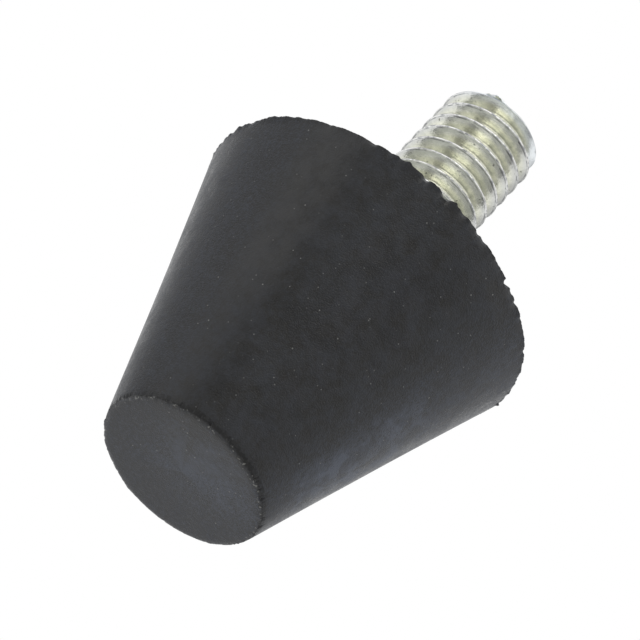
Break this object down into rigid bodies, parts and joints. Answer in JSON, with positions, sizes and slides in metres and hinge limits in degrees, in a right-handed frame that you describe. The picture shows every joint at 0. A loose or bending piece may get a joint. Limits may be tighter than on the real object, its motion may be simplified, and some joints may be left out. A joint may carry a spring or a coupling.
{
  "type": "anti-vibration foot",
  "caption": "Conical rubber anti-vibration foot that stands on its small end, with a bonded steel disc and a threaded stud at its wide end.",
  "frame": {"origin": "centre of the small contact face, on the surface that the foot stands on", "axes": "+Z along the cone's axis, from the small contact face to the end of the stud; X and Y are any two directions across it"},
  "size_m": [0.02, 0.02, 0.0292],
  "materials": {
    "black_rubber": "moulded, satin, with a faint bloom",
    "zinc_plated_steel": "zinc plated, with a pale yellow-green tint"
  },
  "bodies": {
    "root": {"rubber_body": "black_rubber", "backing_plate": "zinc_plated_steel", "threaded_stud": "zinc_plated_steel"}
  },
  "joints": []
}
